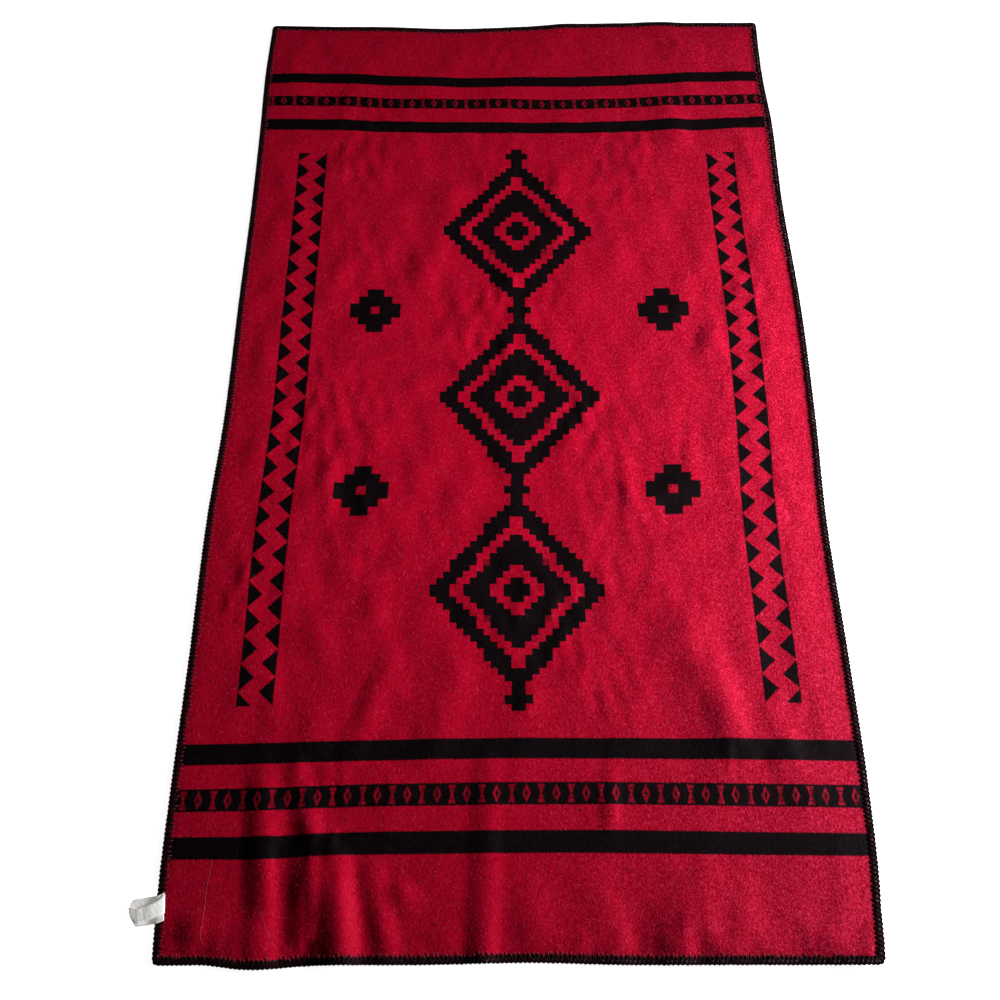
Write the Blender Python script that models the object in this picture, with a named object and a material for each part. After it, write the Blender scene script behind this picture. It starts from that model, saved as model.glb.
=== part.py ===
"""A red and black wool blanket, lying flat with its storage creases.

Metres, +Z up. X runs across the blanket and Y along it, and it lies on z = 0.
The tables are written from the middle of the near end: "across" from the middle line,
"along" from the near end. centred() moves a point to the part's own frame, whose origin
is under the middle of the whole part's box.
"""

import bmesh
import bpy
import numpy as np

WIDTH = 1.000  # finished, over the edging
LENGTH = 1.767
BOX_MIDDLE = (-0.0185, 0.8833)  # across and along, in the tables' frame

CLOTH = 0.003  # thickness of the napped wool
PRESSED = 0.002  # its thickness under the edging's stitches

BAND = 0.0125  # the edging's width on the face, in from the cut edge
OVERHANG = 0.0015  # yarn outside the cut edge
GAP = 0.0003  # between touching pieces
YARN = 0.0007  # yarn layer under the cloth's edge
RELIEF = 0.022  # how far in the cloth's underside reaches the floor
CORNER_CUT = 0.0035  # how much the round corners are drawn in

LABEL = 0.001  # thickness of the satin strip
SAME_POINT = 1e-6  # points this near are one

RED = (0.36, 0.004, 0.020, 1)
BLACK = (0.006, 0.005, 0.006, 1)
WHITE = (0.80, 0.80, 0.78, 1)

# The finished outline, a row for each place along: left side and right side
SIDES = (
    # along, left, right
    (0.000, -0.5095, 0.5075),
    (0.100, -0.5136, 0.5095),
    (0.240, -0.5134, 0.5132),
    (0.430, -0.5103, 0.5100),
    (0.670, -0.5085, 0.5038),
    (0.850, -0.5003, 0.5082),
    (1.090, -0.4991, 0.5084),
    (1.310, -0.4966, 0.5000),
    (1.480, -0.4973, 0.4998),
    (1.640, -0.4996, 0.4930),
    (1.767, -0.4962, 0.4938),
)

# The finished outline, a row for each place across: near end and far end
ENDS = (
    # across, near, far
    (-0.510, -0.0030, 1.7698),
    (-0.375, -0.0080, 1.7663),
    (-0.280, -0.0030, 1.7655),
    (-0.120, -0.0015, 1.7594),
    (0.020, 0.0014, 1.7650),
    (0.140, -0.0011, 1.7722),
    (0.320, -0.0009, 1.7745),
    (0.510, -0.0007, 1.7740),
)

# The creases that stand up from the floor, a row for each straight stretch of a crest
FOLDS = (
    # from across, from along, to across, to along, half-width, height from, mid-way, to
    (-0.366, 0.000, -0.384, 0.340, 0.030, 0.0080, 0.0064, 0.0004),
    (-0.256, 0.000, -0.273, 0.150, 0.028, 0.0085, 0.0080, 0.0060),
    (-0.273, 0.150, -0.345, 0.330, 0.027, 0.0060, 0.0044, 0.0004),
    (-0.305, 0.250, -0.296, 0.480, 0.026, 0.0004, 0.0030, 0.0003),
    (-0.198, 0.135, -0.168, 0.000, 0.021, 0.0004, 0.0036, 0.0018),
    (-0.160, 0.125, -0.106, 0.020, 0.021, 0.0004, 0.0030, 0.0006),
    (-0.052, 0.000, -0.047, 0.300, 0.024, 0.0060, 0.0054, 0.0040),
    (-0.047, 0.300, -0.036, 0.720, 0.022, 0.0040, 0.0020, 0.0002),
    (-0.248, 0.270, -0.188, 0.510, 0.027, 0.0008, 0.0062, 0.0003),
    (-0.130, 0.280, -0.084, 0.490, 0.026, 0.0008, 0.0042, 0.0003),
    (0.142, 0.000, 0.116, 0.140, 0.024, 0.0030, 0.0024, 0.0003),
    (0.312, 0.280, 0.294, 0.530, 0.034, 0.0020, 0.0064, 0.0003),
    (0.383, 0.280, 0.395, 0.490, 0.029, 0.0014, 0.0054, 0.0003),
    (0.430, 0.480, 0.424, 0.650, 0.030, 0.0003, 0.0028, 0.0003),
    (0.174, 0.600, 0.197, 0.840, 0.028, 0.0003, 0.0034, 0.0003),
    (0.316, 0.920, 0.364, 1.090, 0.028, 0.0003, 0.0042, 0.0004),
    (0.280, 1.000, 0.306, 1.190, 0.026, 0.0003, 0.0030, 0.0003),
    (0.451, 0.810, 0.445, 1.130, 0.030, 0.0003, 0.0042, 0.0003),
    (0.318, 1.520, 0.300, 1.330, 0.030, 0.0003, 0.0026, 0.0003),
    (-0.294, 0.930, -0.284, 0.610, 0.024, 0.0003, 0.0024, 0.0003),
    (-0.458, 1.510, -0.400, 1.130, 0.030, 0.0003, 0.0034, 0.0003),
    (-0.122, 1.330, -0.178, 1.040, 0.028, 0.0003, 0.0034, 0.0003),
)

# Spacing of the cloth's cross lines, finer where the creases are
ACROSS_SPANS = (
    # from, to, spacing
    (-0.4765, -0.420, 0.0190),
    (-0.420, -0.020, 0.0105),
    (-0.020, 0.4765, 0.0165),
)
ALONG_SPANS = (
    # from, to, spacing
    (0.0235, 0.480, 0.0200),
    (0.480, 1.7435, 0.0500),
)

# The edging's section, clockwise from its outer side: in from the cut edge, height
EDGING_SECTION = (
    # in, height
    (-OVERHANG, 0.0009),
    (-0.0008, 0.0),
    (BAND, 0.0),
    (BAND, YARN),
    (-GAP, YARN),
    (-GAP, YARN + 2 * GAP + PRESSED),
    (BAND, YARN + 2 * GAP + PRESSED),
    (BAND, 0.0039),
    (-0.0006, 0.0042),
    (-OVERHANG, 0.0033),
)

# The label's strip, from its lower end at the edging, round the fold, to its upper end
LABEL_RUN = (
    # across, along, half-width, height of the strip's middle
    (-0.5005, 0.0730, 0.0185, 0.0050),
    (-0.5130, 0.0722, 0.0182, 0.0050),
    (-0.5175, 0.0712, 0.0180, 0.0044),
    (-0.5270, 0.0690, 0.0179, 0.0013),
    (-0.5310, 0.0680, 0.0178, 0.0005),
    (-0.5480, 0.0655, 0.0135, 0.0005),
    (-0.5492, 0.0652, 0.0131, 0.0009),
    (-0.5497, 0.0648, 0.0128, 0.0015),
    (-0.5492, 0.0644, 0.0126, 0.0021),
    (-0.5478, 0.0638, 0.0124, 0.0025),
    (-0.5380, 0.0608, 0.0103, 0.0029),
    (-0.5290, 0.0640, 0.0095, 0.0043),
    (-0.5170, 0.0683, 0.0093, 0.0064),
    (-0.5120, 0.0700, 0.0093, 0.0065),
    (-0.5020, 0.0722, 0.0092, 0.0065),
)


def curve(knots, values, at):
    """A smooth curve through a table's rows, read at one place or at many."""
    knots = np.array(knots)
    values = np.array(values)
    slopes = np.gradient(values, knots)
    row = np.clip(np.searchsorted(knots, at) - 1, 0, len(knots) - 2)
    step = knots[row + 1] - knots[row]
    f = np.clip((at - knots[row]) / step, 0, 1)
    start = (1 + 2 * f) * (1 - f) ** 2 * values[row] + f * (1 - f) ** 2 * step * slopes[row]
    end = f * f * (3 - 2 * f) * values[row + 1] + f * f * (f - 1) * step * slopes[row + 1]
    return start + end


def lines(spans, first, last):
    """Cross lines of the cloth from its cut edge at first to the one at last."""
    inner = [first, first + BAND]
    for begin, end, spacing in spans:
        count = round((end - begin) / spacing)
        inner += list(np.linspace(begin, end, count, endpoint=False))
    return np.array(inner + [spans[-1][1], last - BAND, last])


def share(at, first, last):
    """0 along the first edge's rim, 1 along the last edge's rim, even between."""
    return np.clip((at - first - RELIEF) / (last - first - 2 * RELIEF), 0, 1)


def placed(across, along):
    """Where a point of the even rectangle lies once the uneven sides and ends are followed."""
    left, right = -WIDTH / 2, WIDTH / 2
    to_right = share(across, left, right)
    to_far = share(along, 0, LENGTH)
    sides = list(zip(*SIDES))
    ends = list(zip(*ENDS))
    x = across + (1 - to_right) * (curve(sides[0], sides[1], along) - left)
    x = x + to_right * (curve(sides[0], sides[2], along) - right)
    y = along + (1 - to_far) * curve(ends[0], ends[1], across)
    y = y + to_far * (curve(ends[0], ends[2], across) - LENGTH)
    return x, y


def eased(f):
    """0 to 1 as f goes from 0 to 1, with a level start and end."""
    f = np.clip(f, 0, 1)
    return f * f * (3 - 2 * f)


def lift(across, along):
    """Height of the cloth's underside above the floor: zero but for the creases."""
    rise = np.zeros(np.broadcast(across, along).shape)
    for x0, y0, x1, y1, half_width, first, middle, last in FOLDS:
        run = np.array((x1 - x0, y1 - y0))
        f = ((across - x0) * run[0] + (along - y0) * run[1]) / run.dot(run)
        f = np.clip(f, 0, 1)
        crest = first + (middle - first) * eased(2 * f) + (last - middle) * eased(2 * f - 1)
        off = np.hypot(across - x0 - f * run[0], along - y0 - f * run[1]) / half_width
        rise = np.maximum(rise, np.where(off < 1, crest * (1 - off**2) ** 2, 0))
    return rise


def grid():
    """The cloth's cross points: place across and along, lift, and distance in from the cut edge."""
    columns = lines(ACROSS_SPANS, -WIDTH / 2 + OVERHANG, WIDTH / 2 - OVERHANG)
    rows = lines(ALONG_SPANS, OVERHANG, LENGTH - OVERHANG)
    across, along = np.meshgrid(columns, rows, indexing="ij")
    inset = np.minimum(
        np.minimum(across - columns[0], columns[-1] - across),
        np.minimum(along - rows[0], rows[-1] - along),
    )
    held_across = np.clip(across, columns[1], columns[-2])
    held_along = np.clip(along, rows[1], rows[-2])
    rise = lift(held_across, held_along)
    for i in (0, -1):
        for j in (0, -1):
            across[i, j] -= np.sign(across[i, j]) * CORNER_CUT
            along[i, j] += CORNER_CUT if j == 0 else -CORNER_CUT
    x, y = placed(across, along)
    return x, y, rise, inset


def centred(x, y, z):
    return (x - BOX_MIDDLE[0], y - BOX_MIDDLE[1], z)


def rim(shape):
    """Grid indices round the cloth's edge, anticlockwise from the near left corner."""
    last_i, last_j = shape[0] - 1, shape[1] - 1
    near = [(i, 0) for i in range(last_i)]
    right = [(last_i, j) for j in range(last_j)]
    far = [(i, last_j) for i in range(last_i, 0, -1)]
    left = [(0, j) for j in range(last_j, 0, -1)]
    return near + right + far + left


def material(name, colour, roughness):
    made = bpy.data.materials.new(name)
    made.use_nodes = True
    shader = made.node_tree.nodes["Principled BSDF"]
    shader.inputs["Base Color"].default_value = colour
    shader.inputs["Roughness"].default_value = roughness
    shader.inputs["Metallic"].default_value = 0.0
    return made


def add_object(name, points, faces, finish):
    """A mesh object, with the points that coincide made one and its faces turned outwards."""
    mesh = bpy.data.meshes.new(name)
    mesh.from_pydata(points, [], faces)
    mesh.materials.append(finish)
    shape = bmesh.new()
    shape.from_mesh(mesh)
    bmesh.ops.remove_doubles(shape, verts=shape.verts, dist=SAME_POINT)
    bmesh.ops.recalc_face_normals(shape, faces=shape.faces)
    shape.to_mesh(mesh)
    shape.free()
    made = bpy.data.objects.new(name, mesh)
    bpy.context.scene.collection.objects.link(made)


def blanket_cloth():
    """One closed sheet: its face, its underside and the cut edge between them."""
    x, y, rise, inset = grid()
    relief = np.clip((RELIEF - inset) / (RELIEF - BAND), 0, 1) * (CLOTH - PRESSED)
    face = [centred(*p) for p in zip(x.flat, y.flat, (rise + CLOTH).flat)]
    underside = [centred(*p) for p in zip(x.flat, y.flat, (rise + relief).flat)]
    rows = x.shape[1]
    below = len(face)
    faces = []
    for i in range(x.shape[0] - 1):
        for j in range(rows - 1):
            a, b = i * rows + j, (i + 1) * rows + j
            faces.append((a, b, b + 1, a + 1))
            faces.append((below + a + 1, below + b + 1, below + b, below + a))
    edge = [i * rows + j for i, j in rim(x.shape)]
    for a, b in zip(edge, edge[1:] + edge[:1]):
        faces.append((below + a, below + b, b, a))
    add_object("wool_cloth", face + underside, faces, material("red wool", RED, 0.95))


def swept(points, size, closed):
    """Faces between the sections of a sweep, each of size points, with end caps if it is open."""
    count = len(points)
    last = count if closed else count - size
    faces = []
    for start in range(0, last, size):
        after = (start + size) % count
        for k in range(size):
            n = (k + 1) % size
            faces.append((start + k, start + n, after + n, after + k))
    if not closed:
        faces += [tuple(range(size)), tuple(range(count - size, count))]
    return faces


def yarn_edging():
    """One band of yarn round the whole cut edge, open towards the cloth that it wraps.

    The three edge points of a corner share one point further in, so the band turns there.
    """
    x, y, rise, _ = grid()
    last_i, last_j = x.shape[0] - 1, x.shape[1] - 1
    points = []
    for i, j in rim(x.shape):
        inner = min(max(i, 1), last_i - 1), min(max(j, 1), last_j - 1)
        edge = np.array((x[i, j], y[i, j]))
        inward = np.array((x[inner], y[inner])) - edge
        for depth, height in EDGING_SECTION:
            reach = depth / BAND if depth > 0 else depth / np.hypot(*inward)
            points.append(centred(*(edge + inward * reach), rise[i, j] + height))
    faces = swept(points, len(EDGING_SECTION), closed=True)
    add_object("yarn_edging", points, faces, material("black yarn", BLACK, 0.9))


def care_label():
    """A satin strip folded over itself, its two ends on the edging and its fold on the floor."""
    run = np.array(LABEL_RUN)
    middle = run[:, [0, 1, 3]]
    side = np.array((0.0, 1.0, 0.0))
    out = np.cross(np.gradient(middle, axis=0), side)
    out *= LABEL / 2 / np.linalg.norm(out, axis=1)[:, None]
    points = []
    for centre, half_width, through in zip(middle, run[:, 2], out):
        for to_side, outward in ((-1, -1), (1, -1), (1, 1), (-1, 1)):
            points.append(centred(*(centre + side * to_side * half_width + through * outward)))
    faces = swept(points, 4, closed=False)
    add_object("care_label", points, faces, material("white satin", WHITE, 0.35))


def main():
    for old in list(bpy.data.objects):
        bpy.data.objects.remove(old)
    blanket_cloth()
    yarn_edging()
    care_label()


main()
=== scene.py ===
"""A red and black wool blanket, lying open on a pale floor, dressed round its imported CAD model.

Metres, +Z up, in the part's own frame. X runs across the blanket and Y along it.
The tables are written from the middle of the near end, as in the CAD source: "across" from
the middle line, "along" from the near end. centred() moves a point to the part's frame.
"""

from math import cos, pi, radians, sin

import bmesh
import bpy
import numpy as np
from mathutils import Matrix, Vector


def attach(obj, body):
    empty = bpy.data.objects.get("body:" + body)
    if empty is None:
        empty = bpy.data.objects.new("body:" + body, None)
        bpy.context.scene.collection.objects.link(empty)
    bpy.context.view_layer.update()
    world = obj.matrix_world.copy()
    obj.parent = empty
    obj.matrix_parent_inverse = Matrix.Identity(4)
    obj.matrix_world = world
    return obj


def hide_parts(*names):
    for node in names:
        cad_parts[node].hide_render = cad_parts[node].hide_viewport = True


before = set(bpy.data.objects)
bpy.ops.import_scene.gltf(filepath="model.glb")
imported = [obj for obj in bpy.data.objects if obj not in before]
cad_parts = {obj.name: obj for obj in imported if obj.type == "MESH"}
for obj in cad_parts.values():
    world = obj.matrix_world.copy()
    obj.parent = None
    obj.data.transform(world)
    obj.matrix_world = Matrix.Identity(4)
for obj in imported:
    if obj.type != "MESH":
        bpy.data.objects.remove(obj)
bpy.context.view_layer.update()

bl_info = {
    "name": "Wool Blanket",
    "version": (1, 0, 0),
    "blender": (4, 5, 0),
    "location": "View3D > Sidebar > Blanket",
    "description": "Builds a flat striped wool blanket with its yarn edging, label and stage",
    "category": "Add Mesh",
}

# Sizes and tables as in the CAD source, but for one more row of SIDES, two more of ENDS, and the
# near right corner, which is drawn in a little more
WIDTH = 1.000
LENGTH = 1.767
BOX_MIDDLE = (-0.0185, 0.8833)  # the middle of the CAD model's box
CLOTH = 0.003  # thickness of the cloth
PRESSED = 0.002  # its thickness under the edging
BAND = 0.0125  # how far in the edging presses the cloth
OVERHANG = 0.0015  # how far the edging stands out past the cut edge
RELIEF = 0.022  # how far in the cloth is at its full thickness

SIDES = (
    # along, left, right
    (0.000, -0.5095, 0.4996),
    (0.035, -0.5113, 0.5038),
    (0.100, -0.5136, 0.5098),
    (0.240, -0.5134, 0.5132),
    (0.430, -0.5103, 0.5100),
    (0.670, -0.5085, 0.5038),
    (0.850, -0.5003, 0.5082),
    (1.090, -0.4991, 0.5084),
    (1.310, -0.4966, 0.5000),
    (1.480, -0.4973, 0.4998),
    (1.640, -0.4996, 0.4930),
    (1.767, -0.4962, 0.4938),
)
ENDS = (
    # across, near, far
    (-0.510, -0.0030, 1.7698),
    (-0.460, -0.0026, 1.7685),
    (-0.430, -0.0024, 1.7677),
    (-0.375, -0.0080, 1.7663),
    (-0.280, -0.0030, 1.7655),
    (-0.120, -0.0015, 1.7594),
    (0.020, 0.0014, 1.7650),
    (0.140, -0.0011, 1.7722),
    (0.320, -0.0009, 1.7745),
    (0.510, -0.0007, 1.7740),
)

# The folds that the cloth keeps from its storage, in the lying cloth's own places: a row for each
# straight stretch of a crest, in tenths of a millimetre. Where two meet, their heights add up.
FOLDS = (
    # from across, along, to across, along, half-width left, right, height from, mid-way, to
    (-3491, -100, -3860, 3470, 373, 192, 43, 58, 1),
    (-491, -170, -442, 2750, 330, 251, 57, 28, 20),
    (-2446, 60, -2638, 1380, 489, 288, 106, 121, 67),
    (-2991, 390, -3008, 1750, 331, 196, 43, 63, 12),
    (3368, 3020, 2758, 4740, 476, 427, 35, 46, 13),
    (-2985, 1760, -3491, 3250, 313, 213, 48, 17, 7),
    (-2619, 2600, -1815, 4660, 291, 303, 14, 30, 0),
    (-2083, 1180, -1736, -230, 257, 225, 20, 41, 16),
    (3177, 3210, 2825, 4930, 900, 331, 30, 28, 16),
    (1795, 6050, 1799, 8110, 234, 263, 0, 21, 0),
    (2875, -130, 2629, 1050, 454, 450, 17, 36, 28),
    (-1222, 13470, -1734, 10500, 526, 272, 10, 14, 7),
    (3158, 9500, 3630, 10670, 292, 335, 4, 34, 0),
    (-3126, 2340, -3060, 4300, 400, 368, 0, 20, 0),
    (-1308, 2790, -727, 4710, 447, 351, 14, 20, 4),
    (3127, 15240, 2858, 13250, 450, 404, 20, 9, 11),
    (1374, 230, 1058, 1210, 441, 299, 39, 23, 1),
    (-3789, -60, -3823, 760, 900, 401, 39, 47, 2),
    (-4525, 390, -4507, 1200, 376, 299, 44, 4, 2),
    (-2518, 6150, -2448, 9220, 201, 265, 5, 11, 0),
    (2243, 170, 2217, 1270, 301, 215, 32, 18, 10),
    (3045, 14640, 2802, 16100, 434, 414, 17, 24, 2),
    (4165, 2340, 3742, 3510, 394, 430, 14, 29, 16),
    (2800, 10100, 3044, 11790, 361, 304, 1, 19, 2),
    (2649, 3970, 2470, 5200, 329, 302, 11, 23, 0),
    (3244, 0, 3097, 870, 430, 414, 15, 33, 20),
    (1341, 1560, 1375, 2600, 234, 150, 2, 25, 14),
    (4490, 120, 4663, 1520, 263, 203, 17, 14, 6),
    (-1674, 910, -1041, 310, 290, 272, 39, 1, 13),
    (2399, -30, 2416, 800, 406, 428, 12, 28, 17),
    (321, 10, 165, 810, 398, 405, 10, 26, 13),
    (1925, -70, 2042, 670, 380, 397, 12, 27, 16),
    (673, 12830, 875, 13920, 250, 247, 11, 18, 8),
    (3577, -80, 3469, 590, 398, 393, 14, 29, 11),
    (-2866, 170, -2842, 1150, 157, 179, 12, 19, 17),
    (3560, 16980, 2713, 17750, 423, 427, 20, 25, 18),
    (4235, -70, 3832, 610, 406, 410, 14, 27, 12),
    (4845, 14810, 4750, 15570, 384, 436, 13, 24, 9),
    (-3528, 1630, -3544, 2380, 133, 142, 18, 23, 3),
    (4734, -110, 4753, 450, 423, 398, 17, 30, 12),
    (2340, 6610, 2603, 8110, 189, 178, 1, 0, 11),
    (2859, 7490, 2984, 8710, 178, 209, 10, 13, 7),
    (-3099, 6820, -3256, 8290, 197, 200, 10, 11, 4),
    (2863, -100, 2820, 610, 403, 403, 11, 22, 9),
    (2305, 4440, 2452, 5550, 447, 415, 13, 13, 3),
    (-3706, 3040, -3767, 4040, 274, 219, 7, 14, 14),
    (2061, -10, 2039, 560, 226, 255, 10, 24, 10),
    (4731, -110, 4753, 480, 409, 400, 13, 24, 9),
    (4508, 13730, 4405, 14970, 298, 238, 11, 10, 11),
    (727, -70, 707, 500, 409, 401, 14, 22, 12),
    (2308, 4550, 2123, 5650, 226, 182, 10, 4, 11),
    (4736, -190, 4739, 190, 439, 407, 18, 32, 7),
    (4855, 20, 4942, 510, 133, 180, 6, 23, 16),
    (2582, 170, 2554, 650, 227, 201, 3, 23, 9),
    (3258, 320, 3159, 1470, 253, 179, 9, 6, 3),
    (4363, 10, 4409, 560, 156, 183, 10, 18, 7),
    (4729, -170, 4774, 250, 418, 409, 14, 23, 6),
    (3057, 200, 3114, 730, 217, 211, 8, 16, 18),
    (-2910, 1940, -2848, 2670, 135, 175, 6, 9, 12),
    (110, 3610, 923, 4130, 244, 245, 17, 3, 0),
    (2740, 4520, 2360, 5500, 189, 184, 8, 3, 6),
    (-4238, 170, -4237, 650, 153, 168, 6, 17, 6),
    (4230, 80, 3971, 580, 235, 187, 5, 16, 8),
    (2810, 40, 2642, 690, 183, 213, 9, 12, 12),
    (630, 17420, 1322, 17790, 409, 415, 8, 21, 10),
    (4406, 110, 4404, 530, 192, 225, 16, 18, 11),
    (846, 100, 914, 490, 187, 176, 1, 19, 6),
    (2826, 4660, 2503, 5480, 202, 183, 8, 9, 3),
    (-3288, 2440, -3223, 3020, 168, 129, 2, 12, 3),
    (2296, 320, 2422, 730, 259, 235, 14, 15, 12),
    (4305, 6990, 4323, 7910, 175, 160, 4, 7, 6),
    (-3594, 2430, -3608, 3040, 130, 107, 10, 8, 3),
    (2350, 100, 2378, 630, 200, 155, 8, 11, 7),
    (4670, 3240, 4649, 4590, 163, 189, 2, 0, 4),
    (3520, 5940, 3575, 6400, 153, 166, 5, 12, 6),
    (4271, 120, 4278, 520, 205, 206, 9, 13, 9),
    (2477, 4610, 2345, 5390, 155, 169, 4, 6, 7),
    (1055, 160, 1079, 550, 143, 155, 7, 13, 6),
    (4774, 160, 4881, 550, 143, 147, 6, 12, 6),
    (4256, 160, 4249, 540, 145, 142, 6, 12, 5),
    (2337, 170, 2441, 590, 241, 194, 10, 10, 10),
    (1302, 3290, 1312, 4080, 122, 188, 3, 5, 2),
    (-1895, 1650, -1892, 2550, 139, 96, 0, 0, 5),
    (4256, 170, 4301, 570, 144, 149, 6, 10, 4),
    (3951, 3110, 3824, 3520, 193, 200, 8, 8, 5),
)

TENTHS = 10000  # to the metre
FOLD_STRENGTH = 1.3

# The cloth's small waves: their lengths across and along, and their random seed
BROAD_WAVES = (0.085, 0.170, 5)
MIDDLING_WAVES = (0.060, 0.085, 9)
FINE_WAVES = (0.028, 0.060, 6)
CRUMPLED_PATCHES = (0.26, 0.34, 7)
BROAD_HEIGHT = 0.00055
BROAD_HEIGHT_BEYOND = 0.00030  # added beyond the folds of the near end
MIDDLING_HEIGHT = 0.00086
FINE_HEIGHT = 0.00062
LABEL_CREASES = (0.014, 0.012, 8)

# Where six straight weft rows of the cloth lie along the floor, for places across it
WEFT_PLACES = (-0.48, -0.36, -0.24, -0.12, 0.00, 0.12, 0.24, 0.36, 0.48)
WEFT_ROWS = (
    # row on the flat cloth, its place along at each of WEFT_PLACES
    (0.1500, (0.1526, 0.1537, 0.1597, 0.1616, 0.1629, 0.1632, 0.1619, 0.1602, 0.1591)),
    (0.2185, (0.2187, 0.2212, 0.2262, 0.2286, 0.2303, 0.2306, 0.2294, 0.2276, 0.2258)),
    (0.2855, (0.2854, 0.2878, 0.2912, 0.2942, 0.2958, 0.2955, 0.2948, 0.2938, 0.2922)),
    (1.4815, (1.5078, 1.5046, 1.4992, 1.4972, 1.4961, 1.4958, 1.4998, 1.5036, 1.5088)),
    (1.5485, (1.5674, 1.5655, 1.5590, 1.5575, 1.5572, 1.5550, 1.5595, 1.5648, 1.5686)),
    (1.6170, (1.6249, 1.6240, 1.6175, 1.6119, 1.6121, 1.6123, 1.6174, 1.6245, 1.6272)),
)

# The plain black stripes, on the flat cloth
STRIPES = (
    # from, to
    (0.1345, 0.1655),
    (0.2700, 0.3010),
    (1.4670, 1.4960),
    (1.6030, 1.6310),
)
# The narrow bands: black, with small red hourglasses and lozenges in turn
MOTIF_BANDS = (
    # middle, half-height of the band, half-height of a motif
    (0.2185, 0.0166, 0.0133),
    (1.5485, 0.0145, 0.0115),
)
MOTIF_PITCH = 0.0213
WAIST_HALF = 0.0014  # of an hourglass
WAIST_FLARE = 0.27
LOZENGE_HALF = 0.0058
HEART_HALF = 0.0024  # the black heart of a lozenge
BAR_HALF = 0.0006  # the thin black bar across an hourglass

# Loose pale threads that have settled on the cloth
THREADS = (
    # half-width, then its places: across, along
    (
        0.00018,
        ((-0.4405, 0.1365), (-0.4426, 0.1154), (-0.4446, 0.0945)),
        ((-0.4444, 0.0635), (-0.4445, 0.0353), (-0.4384, 0.0211)),
    ),
    (
        0.00010,
        ((-0.3709, 0.0760), (-0.3628, 0.0641), (-0.3560, 0.0510)),
        ((-0.3490, 0.0354), (-0.3408, 0.0212)),
    ),
    (0.00045, ((-0.0478, 0.0030), (-0.0465, 0.0034), (-0.0460, 0.0050))),
)

# The pattern of the open red field: stepped diamonds in a row, saw-tooth bands and crosses
FIELD_MIDDLE = 0.8835
DIAMONDS = 3
DIAMOND_PITCH = 0.350
DIAMOND_HALF_WIDTH = 0.140
DIAMOND_HALF_LENGTH = 0.168
RING_DEPTH = 0.026  # the outer ring of a diamond, then its core, in from its edge
CORE_DEPTHS = (0.041, 0.075)
HEART_DEPTH = 0.091
STEP = 0.0105  # of the diamonds' sides
LINK = 0.026
TOOTH_PITCH = 0.0440
TOOTH_HEIGHT = 0.0230
TEETH = 24
TEETH_FROM_MIDDLE = 0.392
TEETH_GAP = 0.0085
CROSS_ACROSS = 0.255
CROSS_HALF = 0.045
CROSS_ARM = 0.015
EDGE_BLUR = 0.0016  # over which black goes to red
STEPS_SHARPER = 40

# The label's ribbon: from its lower end on the edging, round the fold at the left, to its
# upper end
LABEL_RUN = (
    # far edge across, along, near edge across, along, height of the ribbon's middle
    (-0.5036, 0.0922, -0.4994, 0.0553, 0.0050),
    (-0.5122, 0.0882, -0.5080, 0.0517, 0.0047),
    (-0.5173, 0.0875, -0.5138, 0.0506, 0.0030),
    (-0.5234, 0.0868, -0.5198, 0.0496, 0.0012),
    (-0.5299, 0.0861, -0.5269, 0.0485, 0.0005),
    (-0.5403, 0.0842, -0.5359, 0.0474, 0.0005),
    (-0.5456, 0.0833, -0.5402, 0.0483, 0.0005),
    (-0.5485, 0.0799, -0.5447, 0.0541, 0.0006),
    (-0.5509, 0.0765, -0.5483, 0.0593, 0.0008),
    (-0.5518, 0.0719, -0.5507, 0.0640, 0.0014),
    (-0.5509, 0.0724, -0.5495, 0.0628, 0.0018),
    (-0.5482, 0.0727, -0.5463, 0.0593, 0.0021),
    (-0.5439, 0.0717, -0.5415, 0.0549, 0.0025),
    (-0.5401, 0.0703, -0.5371, 0.0514, 0.0030),
    (-0.5381, 0.0708, -0.5351, 0.0517, 0.0033),
    (-0.5312, 0.0730, -0.5281, 0.0546, 0.0042),
    (-0.5291, 0.0736, -0.5261, 0.0554, 0.0046),
    (-0.5228, 0.0756, -0.5199, 0.0571, 0.0057),
    (-0.5156, 0.0786, -0.5131, 0.0590, 0.0064),
    (-0.5080, 0.0836, -0.5055, 0.0622, 0.0067),
    (-0.5036, 0.0882, -0.5011, 0.0642, 0.0065),
    (-0.5018, 0.0908, -0.4991, 0.0650, 0.0061),
)
LABEL_FOLD = 9  # the row at the fold
LABEL_ROWS = 106
LABEL_COLUMNS = 19

CLOTH_SPACING = 0.0052
CORNER_RADIUS = 0.007
UNDERSIDE_STEP = 2  # the underside has one point for every so many of the face's
RIM_LINES = 3  # lines of the cloth's grid that lie under the edging
PINCH_WIDTH = 0.009  # how far in the stitches pull the face down, and over what it rises
PINCH_RISE = 0.008
NAP_ROOT = 0.0002  # how deep in the face the loose fibres start
STITCH_SPACING = 0.002  # between the points of the path that the stitches follow
BAND_SPACING = 0.006
STITCH_MIDDLE = 0.0021  # a stitch's middle, above the cloth's lift
STITCH_HALF_RISE = 0.00135
STITCH_OUT = 0.0009  # how far a stitch stands out past the cut edge
YARN_TWIST = 2600.0  # turn of the plies, in radians to the metre
BRUSHED_OVER = (0.48, 0.30)  # right of the one and nearer than the other, nap hides the tufts
TUFTS = (
    # from, to, how far aside
    (0.0080, 0.0118, 0.0),
    (0.0084, 0.0126, 0.0004),
    (0.0080, 0.0112, -0.0005),
)
BAND_SECTION = (
    # in, height
    (-0.0009, 0.0020),
    (-0.0006, 0.0007),
    (0.0010, 0.0002),
    (0.0056, 0.0003),
    (0.0059, 0.0014),
    (0.0005, 0.0016),
    (0.0004, 0.0028),
    (0.0054, 0.0026),
    (0.0060, 0.0030),
    (0.0050, 0.0034),
    (0.0015, 0.0037),
    (-0.0005, 0.0033),
)

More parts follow.
